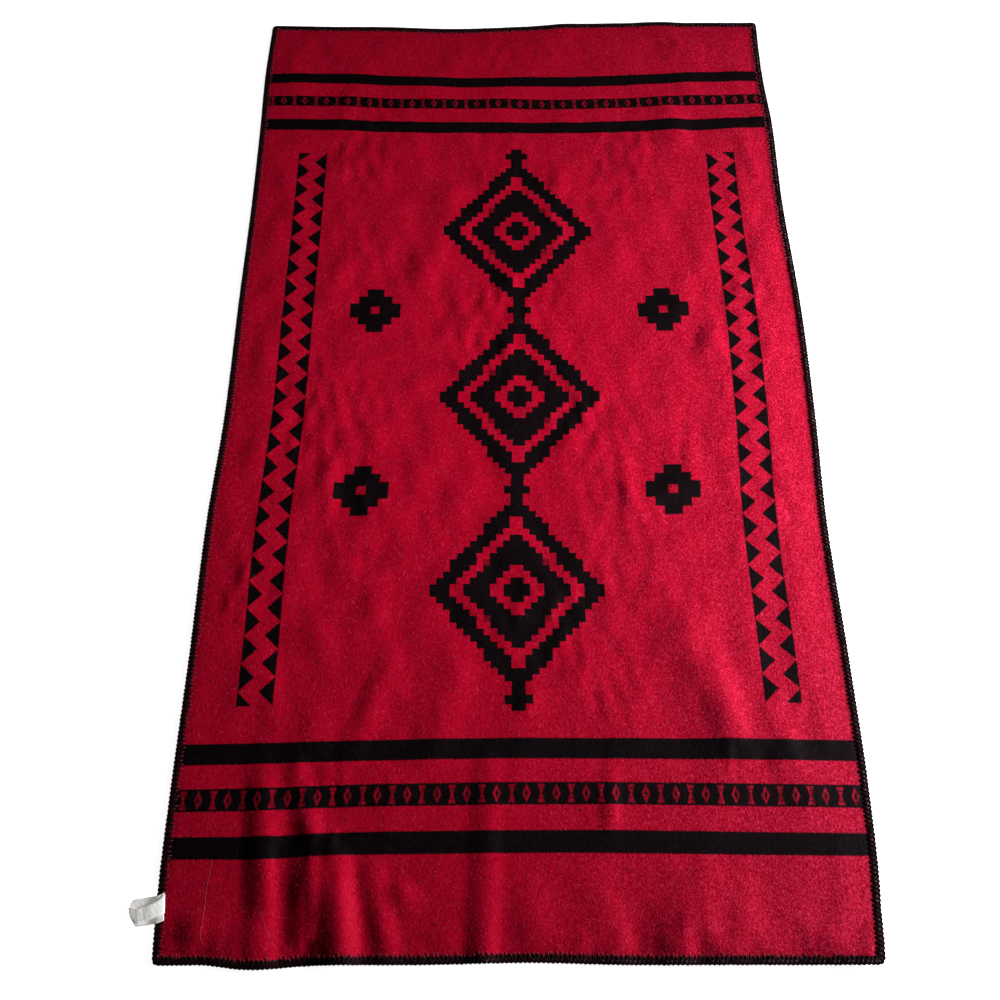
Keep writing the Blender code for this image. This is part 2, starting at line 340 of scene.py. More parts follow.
# The floor, and the window's light and what it aims at
FLOOR_LEVEL = -0.0004
FLOOR_HALF = 6.0
LIGHT_PLACE = (2.83, 0.72, 1.10)
LIGHT_AIM = (-0.22, 0.92, 0.0)
LIGHT_SIZE = (0.7, 0.8)
LIGHT_SPREAD = radians(71)

# The photo's camera
CAMERA_PLACE = (-0.0202, -0.0261, 1.6254)
CAMERA_DOWN = radians(65.83)
CAMERA_ROLL = radians(0.669)
CAMERA_TURN = radians(0.685)
SENSOR = 36


# ---------------------------------------------------------------- node trees


def both_ways(kind):
    """A method that adds a Math node of that kind, and its reflected form."""
    return (
        lambda self, other: self.graph.maths(kind, self, other),
        lambda self, other: self.graph.maths(kind, other, self),
    )


class Wire:
    """An output of a node, on which Python's arithmetic adds Math nodes."""

    def __init__(self, graph, socket):
        self.graph = graph
        self.socket = socket

    __add__, __radd__ = both_ways("ADD")
    __sub__, __rsub__ = both_ways("SUBTRACT")
    __mul__, __rmul__ = both_ways("MULTIPLY")
    __truediv__, __rtruediv__ = both_ways("DIVIDE")
    __pow__, __rpow__ = both_ways("POWER")
    __lt__, __gt__ = both_ways("LESS_THAN")

    def __abs__(self):
        return self.graph.maths("ABSOLUTE", self)


class Node:
    """A node whose outputs are read by name, identifier or number."""

    def __init__(self, graph, node):
        self.graph = graph
        self.node = node

    def __getitem__(self, key):
        return Wire(self.graph, found(self.node.outputs, key))


def found(sockets, key):
    """The socket with that number, identifier or name."""
    if isinstance(key, int):
        return sockets[key]
    for socket in sockets:
        if socket.identifier == key:
            return socket
    return sockets[key]


class Graph:
    """Builds one node tree, of a material or of Geometry Nodes."""

    def __init__(self, tree):
        self.tree = tree

    def node(self, kind, settings=None, sockets=None):
        """A node of that kind: first its settings, then the values or links of its sockets."""
        made = self.tree.nodes.new(kind)
        for name, value in (settings or {}).items():
            setattr(made, name, value)
        for key, value in (sockets or {}).items():
            socket = found(made.inputs, key)
            for one in value if isinstance(value, list) else [value]:
                if isinstance(one, Wire):
                    self.tree.links.new(one.socket, socket)
                else:
                    socket.default_value = one
        return Node(self, made)

    def maths(self, operation, *values):
        return self.node("ShaderNodeMath", {"operation": operation}, dict(enumerate(values)))[0]

    def apart(self, vector):
        """The three numbers of a vector."""
        parts = self.node("ShaderNodeSeparateXYZ", None, {"Vector": vector})
        return parts["X"], parts["Y"], parts["Z"]

    def together(self, x, y, z):
        return self.node("ShaderNodeCombineXYZ", None, {"X": x, "Y": y, "Z": z})["Vector"]

    def noise(self, at, scale, detail=2.0, roughness=0.5, distortion=0.0):
        sockets = {"Vector": at, "Scale": scale, "Detail": detail}
        sockets |= {"Roughness": roughness, "Distortion": distortion}
        return self.node("ShaderNodeTexNoise", None, sockets)[0]

    def mixed(self, share, first, second):
        """A colour between two others."""
        settings = {"data_type": "RGBA"}
        sockets = {"Factor_Float": share, "A_Color": first, "B_Color": second}
        return self.node("ShaderNodeMix", settings, sockets)["Result_Color"]

    def turned(self, at, turn, stretch=(1, 1, 1)):
        """Places for a pattern that is stretched along its own axes, then turned."""
        sockets = {"Vector": at, "Rotation": turn, "Scale": stretch}
        return self.node("ShaderNodeMapping", {"vector_type": "TEXTURE"}, sockets)["Vector"]

    def attribute(self, name):
        """A material's reading of a number kept on the mesh."""
        return self.node("ShaderNodeAttribute", {"attribute_name": name})["Fac"]

    def principled(self, sockets):
        return self.node("ShaderNodeBsdfPrincipled", None, sockets)[0]

    def bump(self, strength, distance, height):
        sockets = {"Strength": strength, "Distance": distance, "Height": height}
        return self.node("ShaderNodeBump", None, sockets)["Normal"]

    def random(self, low, high, seed):
        """A random number for each point of a Geometry Nodes tree."""
        sockets = {"Min_001": low, "Max_001": high, "Seed": seed}
        return self.node("FunctionNodeRandomValue", {"data_type": "FLOAT"}, sockets)["Value_001"]

    def read(self, name, kind="FLOAT"):
        """A Geometry Nodes tree's reading of an attribute."""
        settings = {"data_type": kind}
        return self.node("GeometryNodeInputNamedAttribute", settings, {"Name": name})["Attribute"]


def finish(name):
    """A new material and a graph on its empty tree."""
    material = bpy.data.materials.new(name)
    material.use_nodes = True
    material.node_tree.nodes.clear()
    return material, Graph(material.node_tree)


def shown(graph, shader):
    graph.node("ShaderNodeOutputMaterial", None, {"Surface": shader})


def colour(value):
    return (*value, 1.0)


def maths(operation, *values):
    """A Math node on values of which one at least is a wire."""
    graph = next(value.graph for value in values if isinstance(value, Wire))
    return graph.maths(operation, *values)


def least(*values):
    result = values[0]
    for value in values[1:]:
        result = maths("MINIMUM", result, value)
    return result


def most(*values):
    result = values[0]
    for value in values[1:]:
        result = maths("MAXIMUM", result, value)
    return result


def limited(value):
    return least(most(value, 0.0), 1.0)


# ---------------------------------------------------------------- the woven pattern


def inside(depth):
    """1 well inside an edge, 0 well outside it, from the depth inside it in metres."""
    return limited(depth / EDGE_BLUR + 0.5)


def on_steps(depth):
    """The same for a depth that already goes in steps of the weave: no step is half dark."""
    return limited(depth * STEPS_SHARPER / EDGE_BLUR + 0.5)


def from_middle(value, pitch):
    """How far a place is from the middle of its repeat."""
    return abs(maths("FRACT", value / pitch) - 0.5) * pitch


def in_steps(value):
    """A distance in whole steps of the weave."""
    return (maths("FLOOR", value / STEP) + 0.5) * STEP


def stripes(v):
    black = 0.0
    for low, high in STRIPES:
        black = most(black, inside(least(v - low, high - v)))
    return black


def motif_band(u, v, middle, band_half, motif_half):
    """A black band with dull red motifs in turn: an hourglass and a double lozenge."""
    up = abs(v - middle)
    aside = from_middle(u, MOTIF_PITCH)
    odd = inside(from_middle(u + MOTIF_PITCH / 2, 2 * MOTIF_PITCH) - MOTIF_PITCH / 2)
    hourglass = least(WAIST_HALF + up * WAIST_FLARE - aside, motif_half - up)
    bar = BAR_HALF - abs(up - motif_half * 0.55)
    lozenge = LOZENGE_HALF * (1 - up / motif_half) - aside
    heart = HEART_HALF * (1 - up / (motif_half * 0.5)) - aside
    hourglass = inside(least(hourglass, 0.0 - bar))
    lozenge = inside(least(lozenge, 0.0 - heart))
    motif = hourglass * odd + lozenge * (1 - odd)
    wear_and_glint = 0.62 + 0.22 * maths("SINE", maths("FLOOR", u / MOTIF_PITCH + 0.5) * 2.4)
    return inside(band_half - up) * (1 - motif * wear_and_glint)


def diamond_row(u, v):
    """Stepped diamonds down the middle, joined by small lozenges."""
    start = FIELD_MIDDLE - DIAMONDS * DIAMOND_PITCH / 2
    end = FIELD_MIDDLE + DIAMONDS * DIAMOND_PITCH / 2
    aside = in_steps(abs(u))
    on = in_steps(from_middle(v - start, DIAMOND_PITCH))
    reach = 1 - aside / DIAMOND_HALF_WIDTH - on / DIAMOND_HALF_LENGTH
    slope = (DIAMOND_HALF_WIDTH**-2 + DIAMOND_HALF_LENGTH**-2) ** -0.5
    depth = reach * slope
    ring = least(on_steps(depth), 1 - on_steps(depth - RING_DEPTH))
    start_core, end_core = CORE_DEPTHS
    core = least(on_steps(depth - start_core), 1 - on_steps(depth - end_core))
    heart = on_steps(depth - HEART_DEPTH)
    row = most(ring, core, heart) * inside(least(v - start, end - v))
    link = LINK - aside - (DIAMOND_PITCH / 2 - on)
    link = on_steps(link) * inside(least(v - start + LINK, end + LINK - v))
    return most(row, link * (1 - on_steps(depth)))


def tooth_bands(u, v):
    """Two rows of teeth down each side, point to gap, with a thin red zigzag between them."""
    across = abs(u) - TEETH_FROM_MIDDLE
    half = TEETH * TOOTH_PITCH / 2
    along = v - FIELD_MIDDLE
    point = 1 - from_middle(along, TOOTH_PITCH) * 2 / TOOTH_PITCH
    gap = TEETH_GAP / 2
    tip = TOOTH_HEIGHT * point
    row_in = least(across + TOOTH_HEIGHT + gap, tip - TOOTH_HEIGHT - gap - across)
    row_out = least(TOOTH_HEIGHT + gap - across, across - tip - gap)
    return most(inside(row_in), inside(row_out)) * inside(half - abs(along))


def crosses(u, v):
    """Small stepped crosses beside the links of the diamonds."""
    aside = abs(abs(u) - CROSS_ACROSS)
    on = abs(abs(v - FIELD_MIDDLE) - DIAMOND_PITCH / 2)
    upright = least(CROSS_ARM - aside, CROSS_HALF - on)
    bar = least(CROSS_HALF - aside, CROSS_ARM - on)
    block = 2 * CROSS_ARM - most(aside, on)
    hole = CROSS_ARM / 2 - most(aside, on)
    return inside(most(upright, bar, block)) * (1 - inside(hole))


def black_share(u, v):
    """1 where the face of the cloth is black, 0 where it is red."""
    black = stripes(v)
    for band in MOTIF_BANDS:
        black = most(black, motif_band(u, v, *band))
    return most(black, diamond_row(u, v), tooth_bands(u, v), crosses(u, v))


# ---------------------------------------------------------------- the cloth's shape


def curve(knots, values, at):
    """A smooth curve through a table's rows, read at one place or at many."""
    knots = np.array(knots)
    values = np.array(values)
    slopes = np.gradient(values, knots)
    row = np.clip(np.searchsorted(knots, at) - 1, 0, len(knots) - 2)
    step = knots[row + 1] - knots[row]
    f = np.clip((at - knots[row]) / step, 0, 1)
    start = (1 + 2 * f) * (1 - f) ** 2 * values[row] + f * (1 - f) ** 2 * step * slopes[row]
    end = f * f * (3 - 2 * f) * values[row + 1] + f * f * (f - 1) * step * slopes[row + 1]
    return start + end


def share(at, first, last):
    """0 along the first edge's rim, 1 along the last edge's rim, even between."""
    return np.clip((at - first - RELIEF) / (last - first - 2 * RELIEF), 0, 1)


def placed(across, along):
    """Where a point of the even rectangle lies once the uneven sides and ends are followed."""
    left, right = -WIDTH / 2, WIDTH / 2
    to_right = share(across, left, right)
    to_far = share(along, 0, LENGTH)
    sides = list(zip(*SIDES))
    ends = list(zip(*ENDS))
    x = across + (1 - to_right) * (curve(sides[0], sides[1], along) - left)
    x = x + to_right * (curve(sides[0], sides[2], along) - right)
    y = along + (1 - to_far) * curve(ends[0], ends[1], across)
    y = y + to_far * (curve(ends[0], ends[2], across) - LENGTH)
    return x, y


def eased(f):
    """0 to 1 as f goes from 0 to 1, with a level start and end."""
    f = np.clip(f, 0, 1)
    return f * f * (3 - 2 * f)


def folds(x, y):
    """Height of the folds at places of the lying cloth."""
    rise = np.zeros(np.broadcast(x, y).shape)
    for x0, y0, x1, y1, left, right, first, middle, last in np.array(FOLDS) / TENTHS:
        run = np.array((x1 - x0, y1 - y0))
        f = np.clip(((x - x0) * run[0] + (y - y0) * run[1]) / run.dot(run), 0, 1)
        crest = first + (middle - first) * eased(2 * f) + (last - middle) * eased(2 * f - 1)
        aside = x - x0 - f * run[0]
        off = np.hypot(aside, y - y0 - f * run[1]) / np.where(aside < 0, left, right)
        rise = rise + np.where(off < 1, crest * (1 - off**2) ** 2, 0)
    return rise * FOLD_STRENGTH


def swell(across, along, across_wave, along_wave, seed):
    """A gentle random surface about 1 high, the same each run, from crossing waves."""
    random = np.random.default_rng(seed)
    waves = 28
    total = 0.0
    for _ in range(waves):
        turn = random.uniform(0, 2 * pi)
        length = random.uniform(0.7, 1.6)
        start = random.uniform(0, 2 * pi)
        run = cos(turn) * across / across_wave + sin(turn) * along / along_wave
        total = total + np.sin(2 * pi * run / length + start)
    return total / waves**0.5


def lift(across, along):
    """Height of the cloth's underside above the floor, for points of the even rectangle."""
    x, y = placed(across, along)
    broad = np.clip(swell(x, y, *BROAD_WAVES) + 0.9, 0, None)
    middling = np.clip(swell(x, y, *MIDDLING_WAVES) + 0.9, 0, None)
    fine = np.clip(swell(x, y, *FINE_WAVES) + 1.2, 0, None)
    crumpled = np.clip(0.35 + 0.75 * swell(x, y, *CRUMPLED_PATCHES), 0, 1.3)
    inset = np.minimum(WIDTH / 2 - abs(across), np.minimum(along, LENGTH - along))
    settled = eased((inset - BAND) / 0.05)  # the waves die out towards the edging
    # the near end has its folds, and the waves are strongest beyond them
    beyond = eased((y - 0.22) / 0.3) * (1 - 0.5 * eased((y - 1.2) / 0.4))
    waves = (BROAD_HEIGHT + BROAD_HEIGHT_BEYOND * beyond) * broad
    waves = waves + beyond * MIDDLING_HEIGHT * middling
    waves = waves + (0.3 + beyond * 0.7) * crumpled * FINE_HEIGHT * fine
    return folds(x, y) + settled * waves


def edge_lift(across, along):
    """The same lift, held from the edging's inner side outwards."""
    held_across = np.clip(across, BAND + OVERHANG - WIDTH / 2, WIDTH / 2 - BAND - OVERHANG)
    held_along = np.clip(along, BAND + OVERHANG, LENGTH - BAND - OVERHANG)
    return lift(held_across, held_along)


def centred(x, y, z):
    return np.stack(np.broadcast_arrays(x - BOX_MIDDLE[0], y - BOX_MIDDLE[1], z), -1)


def rounded(across, along):
    """The even rectangle with its four corners drawn in to arcs."""
    half = (WIDTH / 2 - OVERHANG, LENGTH / 2 - OVERHANG)
    to_x = np.clip(abs(across) - half[0] + CORNER_RADIUS, 0, None)
    to_y = np.clip(abs(along - LENGTH / 2) - half[1] + CORNER_RADIUS, 0, None)
    reach = np.hypot(to_x, to_y)
    drawn = np.where(reach > 0, np.maximum(to_x, to_y) / np.maximum(reach, 1e-9), 1.0)
    across = across - np.sign(across) * to_x * (1 - drawn)
    along = along - np.sign(along - LENGTH / 2) * to_y * (1 - drawn)
    return across, along


def surface(across, along):
    """The place and lift of points of the cloth, given on the even rectangle."""
    return (*placed(*rounded(across, along)), edge_lift(across, along))


def lying_lift(x, y):
    """The lift of the cloth at places of the lying cloth."""
    across, along = x, y
    for _ in range(4):
        there = placed(across, along)
        across, along = across + x - there[0], along + y - there[1]
    return lift(across, along)


def cross_lines(first, last):
    """Places of the cloth's lines from one cut edge to the other: close at the rims."""
    rim = np.array((0, 0.004, 0.0085, BAND, 0.0165))
    count = round((last - first - 2 * RELIEF) / CLOTH_SPACING / 2) * 2
    even = np.linspace(first + RELIEF, last - RELIEF, count + 1)
    return np.concatenate((first + rim, even[:-1], (last - RELIEF,), last - rim[::-1]))


def cloth_grid(left_out=0):
    """The cloth's points on the even rectangle, without so many lines at each rim."""
    columns = cross_lines(OVERHANG - WIDTH / 2, WIDTH / 2 - OVERHANG)
    rows = cross_lines(OVERHANG, LENGTH - OVERHANG)
    kept_columns = columns[left_out:len(columns) - left_out]
    return np.meshgrid(kept_columns, rows[left_out:len(rows) - left_out], indexing="ij")


def flat_along(x, y, across):
    """Where along the flat cloth a point of the lying cloth is, from the measured weft rows."""
    ends = list(zip(*ENDS))
    knots = [(0.0, curve(ends[0], ends[1], across))]
    knots += [(row, curve(WEFT_PLACES, places, across)) for row, places in WEFT_ROWS]
    knots += [(LENGTH, curve(ends[0], ends[2], across))]
    flat = np.where(y < knots[0][1], y - knots[0][1], 0.0)
    for (row, start), (next_row, end) in zip(knots, knots[1:]):
        within = (y >= start) & (y <= end)
        flat = np.where(within, row + (y - start) / (end - start) * (next_row - row), flat)
    return np.where(y > knots[-1][1], LENGTH + y - knots[-1][1], flat)


# ---------------------------------------------------------------- meshes


def add_piece(name, mesh):
    """A new object for a mesh whose points are already in place."""
    piece = bpy.data.objects.new(name, mesh)
    bpy.context.scene.collection.objects.link(piece)
    return piece


def smooth_mesh(name, points, faces, material=None):
    """A smooth mesh whose faces are turned outwards."""
    mesh = bpy.data.meshes.new(name)
    mesh.from_pydata([tuple(p) for p in points], [], faces)
    shape = bmesh.new()
    shape.from_mesh(mesh)
    bmesh.ops.recalc_face_normals(shape, faces=shape.faces)
    shape.to_mesh(mesh)
    shape.free()
    mesh.shade_smooth()
    if material:
        mesh.materials.append(material)
    return mesh


def rim_of(index):
    """The indices round a grid's rim, in one loop."""
    sides = (index[:-1, 0], index[-1, :-1], index[:0:-1, -1], index[0, :0:-1])
    return np.concatenate(sides)


def unit(vectors):
    return vectors / np.linalg.norm(vectors, axis=1)[:, None]


def quads(index):
    """The faces of a grid of point indices."""
    corners = (index[:-1, :-1], index[1:, :-1], index[1:, 1:], index[:-1, 1:])
    return np.stack(corners, -1).reshape(-1, 4)


def closed_sheet(upper, lower, step):
    """Points and faces of a closed sheet. Its lower grid has every step-th line of the upper."""
    above = np.arange(upper.shape[0] * upper.shape[1]).reshape(upper.shape[:2])
    below = above.size + np.arange(lower.shape[0] * lower.shape[1]).reshape(lower.shape[:2])
    faces = quads(above).tolist() + quads(below)[:, ::-1].tolist()
    top, bottom = rim_of(above), rim_of(below)
    for k in range(len(bottom)):
        run = [int(top[(k * step + i) % len(top)]) for i in range(step + 1)]
        faces.append([int(bottom[k]), int(bottom[(k + 1) % len(bottom)])] + run[::-1])
    return np.concatenate((upper.reshape(-1, 3), lower.reshape(-1, 3))), faces


def swept(sections, closed=False):
    """Points and faces of a closed section carried along a path: an array path x section x 3."""
    count, size = sections.shape[:2]
    index = np.arange(count * size).reshape(count, size)
    index = np.concatenate((index, index[:, :1]), 1)
    if closed:
        index = np.concatenate((index, index[:1]))
    faces = quads(index).tolist()
    if not closed:
        faces += [index[0, :-1].tolist(), index[-1, -2::-1].tolist()]
    return sections.reshape(-1, 3), faces


def grown(name, mesh, tree, values):
    """A piece from the plain mesh that a Geometry Nodes tree makes of a mesh."""
    piece = add_piece(name, mesh)
    modifier = piece.modifiers.new("Grown", "NODES")
    modifier.node_group = tree
    for item in tree.interface.items_tree:
        if item.in_out == "INPUT" and item.name in values:
            modifier[item.identifier] = values[item.name]
    current = bpy.context.evaluated_depsgraph_get()
    solved = piece.evaluated_get(current)
    keep = {"preserve_all_data_layers": True, "depsgraph": current}
    plain = bpy.data.meshes.new_from_object(solved, **keep)
    piece.modifiers.remove(modifier)
    piece.data = plain
    plain.name = name
    if len(plain.polygons) == 0:
        raise RuntimeError(f"{name}: its node tree made no faces")
    return piece


def lay_flat(mesh, flat):
    """Keep where the points of a mesh are on the flat cloth as its UV map."""
    corners = np.zeros(len(mesh.loops), int)
    mesh.loops.foreach_get("vertex_index", corners)
    mesh.uv_layers.new(name="Cloth").data.foreach_set("uv", flat[corners].ravel())


def keep_number(mesh, name, values):
    """Keep a number for each point of a mesh."""
    numbers = mesh.attributes.new(name, "FLOAT", "POINT").data
    numbers.foreach_set("value", values.astype(np.float32))


def new_geometry_tree(name, inlets):
    """An empty Geometry Nodes tree with named inputs: its graph and its inputs."""
    tree = bpy.data.node_groups.new(name, "GeometryNodeTree")
    tree.interface.new_socket("Geometry", in_out="OUTPUT", socket_type="NodeSocketGeometry")
    for label, kind in {"Geometry": "Geometry", **inlets}.items():
        tree.interface.new_socket(label, in_out="INPUT", socket_type="NodeSocket" + kind)
    graph = Graph(tree)
    return graph, graph.node("NodeGroupInput")


# ---------------------------------------------------------------- settings

COLOUR = {"subtype": "COLOR", "size": 3, "min": 0, "max": 1}


class BlanketWool(bpy.types.PropertyGroup):
    """The napped cloth."""

    deep_red: bpy.props.FloatVectorProperty(
        name="Deep red",
        description="The wool's red between the raised fibres",
        default=(0.205, 0.0001, 0.0062), **COLOUR,
    )
    bright_red: bpy.props.FloatVectorProperty(
        name="Bright red",
        description="The wool's red where the nap stands up",
        default=(0.310, 0.0004, 0.0125), **COLOUR,
    )
    black: bpy.props.FloatVectorProperty(
        name="Black",
        description="The black wool of the stripes and motifs",
        default=(0.0008, 0.0007, 0.0008), **COLOUR,
    )
    nap_depth: bpy.props.FloatProperty(
        name="Nap depth",
        description="Height of the felted nap's small lumps",
        default=0.0004, unit="LENGTH", min=0.0, max=0.003,
    )


class BlanketNap(bpy.types.PropertyGroup):
    """The loose fibres that lie on the cloth."""

    light_density: bpy.props.FloatProperty(
        name="Light fibres",
        description="Pale loose fibres on each square metre of red",
        default=15000, min=0, max=30000,
    )
    deep_density: bpy.props.FloatProperty(
        name="Deep fibres",
        description="Deep red loose fibres on each square metre of red",
        default=9000, min=0, max=30000,
    )
    grey_density: bpy.props.FloatProperty(
        name="Grey fibres",
        description="Dark grey loose fibres on each square metre of black",
        default=30000, min=0, max=60000,
    )
    fibre_length: bpy.props.FloatProperty(
        name="Fibre length",
        description="Mean length of a loose fibre",
        default=0.0062, unit="LENGTH", min=0.001, max=0.02,
    )


class BlanketEdging(bpy.types.PropertyGroup):
    """The overedge stitches."""

    pitch: bpy.props.FloatProperty(
        name="Stitch pitch",
        description="Distance from one stitch to the next along the edge",
        default=0.0064, unit="LENGTH", min=0.003, max=0.02,
    )
    reach: bpy.props.FloatProperty(
        name="Stitch reach",
        description="How far in from the cut edge a stitch reaches",
        default=0.0092, unit="LENGTH", min=0.004, max=0.03,
    )
    yarn: bpy.props.FloatProperty(
        name="Yarn width",
        description="Width of the flattened yarn",
        default=0.0030, unit="LENGTH", min=0.001, max=0.005,
    )
    black: bpy.props.FloatVectorProperty(
        name="Yarn black",
        description="Colour of the edging yarn",
        default=(0.0048, 0.0014, 0.0018), **COLOUR,
    )


class BlanketLabel(bpy.types.PropertyGroup):
    """The care label."""

    thickness: bpy.props.FloatProperty(
        name="Ribbon thickness",
        description="Thickness of the satin ribbon",
        default=0.0004, unit="LENGTH", min=0.0001, max=0.001,
    )
    white: bpy.props.FloatVectorProperty(
        name="Satin white",
        description="Colour of the satin",
        default=(0.88, 0.88, 0.87), **COLOUR,
    )


class BlanketStage(bpy.types.PropertyGroup):
    """The floor, the lights and the camera."""

    key_power: bpy.props.FloatProperty(
        name="Window light",
        description="Power of the large soft light at the right",
        default=60.0, unit="POWER", min=0, max=500,
    )
    fill: bpy.props.FloatProperty(
        name="Room light",
        description="Strength of the even light from all round",
        default=0.015, min=0, max=3,
    )
    floor_glow: bpy.props.FloatProperty(
        name="Floor glow",
        description="How much of its own light keeps the pale floor white",
        default=0.95, min=0, max=2,
    )
    lens: bpy.props.FloatProperty(
        name="Focal length",
        description="Focal length of the camera",
        default=38.88, subtype="DISTANCE_CAMERA", min=10, max=200,
    )


# ---------------------------------------------------------------- finishes


def napped_wool(settings):
    """Felted, brushed wool in two colours, with the pattern reversed on its underside."""
    material, g = finish("napped_wool")
    place = g.node("ShaderNodeTexCoord")["Object"]
    u, v, _ = g.apart(g.node("ShaderNodeUVMap", {"uv_map": "Cloth"})["UV"])

    def brushed(turn, stretch):
        """Places for a grain that is drawn out along the brushing."""
        return g.turned(place, (0, 0, radians(turn)), (1.0, stretch, 1.0))

    streaks = g.noise(brushed(20, 2.5), 430.0, detail=3.0, roughness=0.72, distortion=0.4)
    hairs = g.noise(brushed(26, 2.4), 860.0, detail=1.0, roughness=0.6, distortion=0.3)
    broad = g.noise(place, 26.0, roughness=0.55)
    patches = g.noise(place, 110.0, roughness=0.6)
    flecks = limited((g.noise(brushed(22, 2.2), 560.0, detail=1.0) - 0.60) * 9.0)
    # thin curls of fibre, where a slow noise crosses its middle value
    lying = brushed(12, 2.2)
    curl = abs(g.noise(lying, 190.0, detail=1.0, distortion=1.2) - 0.5)
    curl = limited(1.0 - curl * 34.0)
    curl = curl * limited((g.noise(lying, 260.0, detail=1.0) - 0.55) * 9.0)
    nap_lean_and_sheen = limited(u * 2.0 + 0.05)  # painted sheen: the wool is painted paler towards the right side, where the light falls
    # painted sheen and highlight, strongest on the right side and fading towards the far end,
    # following the light
    painted_sheen = nap_lean_and_sheen * (1.05 - v * 0.30)

    # the woven edges wander a little with the nap
    aslant = g.turned(place, (0, 0, 1.1))
    wander = (g.noise(place, 620.0, roughness=0.65) - 0.5) * 0.0042
    wander_up = (g.noise(aslant, 560.0, roughness=0.65) - 0.5) * 0.0042
    face = black_share(u + wander, v + wander_up)
    upper = g.attribute("Upper")
    black = face * upper + (1.0 - face) * (1.0 - upper)

    grain = (streaks - 0.5) * 3.2 + (hairs - 0.5) * 4.0 + (patches - 0.5) * 0.4
    tip = limited(0.5 + grain * 0.40)
    lit = limited(grain * 1.25 - 0.22 + painted_sheen * 0.36)  # only the highest fibres catch the light
    # painted shade: the cloth is painted darker towards the edging, where its yarn draws the
    # cloth down into its shade, over a wider band towards the right side
    side_in = WIDTH / 2 - abs(u) + wander - 0.0050 - 0.0018 * nap_lean_and_sheen
    side_in = side_in / (0.0086 + 0.0018 * nap_lean_and_sheen + 0.0058 * nap_lean_and_sheen * limited(v * 2.5))
    near_in = (v + wander - 0.0066) / 0.0076
    far_in = (LENGTH - v + wander - 0.0030) / 0.0125
    drawn = limited(least(side_in, least(near_in, far_in)))
    drawn = drawn * drawn * (3.0 - 2.0 * drawn)

    red = colour(settings.deep_red)
    dark = colour(settings.black)
    for amount, value in (
        (tip, settings.bright_red),
        (limited((broad - 0.42) * 1.5) * 0.2, (0.24, 0.0003, 0.0095)),
        # painted highlight: the lit fibres and the pale flecks grow stronger towards the right
        # side with the painted sheen
        (lit * (0.18 + 0.42 * painted_sheen), (0.56, 0.022, 0.076)),
        (flecks * (0.15 + 0.65 * painted_sheen), (0.62, 0.032, 0.092)),
        (curl * 0.55, (0.54, 0.026, 0.080)),
    ):
        red = g.mixed(amount, red, colour(value))
    # the painted shade along the edging
    red = g.mixed(drawn, (0.050, 0.0008, 0.0036, 1), red)
    # the black is painted paler towards the right side, where the light falls, as painted sheen,
    # and paler at random with the grain
    for amount, value in (
        (limited(tip * 0.3 + u * 0.6 + 0.4), (0.0034, 0.0018, 0.0023)),
        (limited(grain * 0.8 - 0.1) * 0.6, (0.0110, 0.0052, 0.0060)),
        (curl * 0.45, (0.024, 0.013, 0.015)),
    ):
        dark = g.mixed(amount, dark, colour(value))

    height = streaks * 0.62 + hairs * 0.25 + curl * 0.14 + flecks * 0.12
    normal = g.bump(1.0, settings.nap_depth, height)
    red_wool = g.principled({
        "Base Color": red,
        "Roughness": 0.58,
        "Specular IOR Level": 0.04,
        "Specular Tint": (1.0, 0.22, 0.50, 1),
        "Normal": normal,
    })
    black_wool = g.principled({
        "Base Color": dark,
        "Roughness": 0.62,
        "Specular IOR Level": 0.03,
        "Specular Tint": (1.0, 0.7, 0.8, 1),
        "Normal": normal,
    })
    sockets = {"Fac": black, 1: red_wool, 2: black_wool}
    shown(g, g.node("ShaderNodeMixShader", None, sockets)[0])
    return material


def fibre_finish(name, value):
    """One plain colour for thousands of tiny fibres."""
    material, g = finish(name)
    sockets = {"Base Color": colour(value), "Roughness": 0.75, "Specular IOR Level": 0.05}
    shown(g, g.principled(sockets))
    return material


def edging_yarn(settings):
    """Black wool yarn: two plies twisted together, with a painted glint where it bends over the
    edge.
    """
    material, g = finish("edging_yarn")
    place = g.node("ShaderNodeTexCoord")["Object"]
    hairs = g.noise(place, 1500.0, roughness=0.6)
    lumps = g.noise(place, 420.0)
    glint_noise = g.noise(place, 130.0, roughness=0.6)
    x, _, _ = g.apart(place)
    ply = g.attribute("Ply")
    pale = limited((hairs - 0.5) * 2.4 + (lumps - 0.5) * 1.4 + ply * 0.25 + 0.1)
    yarn = g.mixed(pale, colour(settings.black), (0.0170, 0.0054, 0.0062, 1))
    # painted glint: pale specks on the yarn's crest, brighter or fainter at random from stitch to
    # stitch and only towards the right side, where the light falls
    wear_and_glint = limited((g.attribute("Crest") - 0.25) * 3.0)
    wear_and_glint = wear_and_glint * limited((glint_noise - 0.42) * 4.0) * limited(x * 1.4 + 0.35)
    yarn = g.mixed(wear_and_glint, yarn, (0.150, 0.080, 0.090, 1))
    height = ply * 0.5 + hairs * 0.35 + lumps * 0.3
    sockets = {
        "Base Color": yarn,
        "Roughness": 0.55,
        "Specular IOR Level": 0.02,
        "Specular Tint": (1.0, 0.75, 0.85, 1),
        "Normal": g.bump(0.9, 0.0006, height),
    }
    shown(g, g.principled(sockets))
    return material


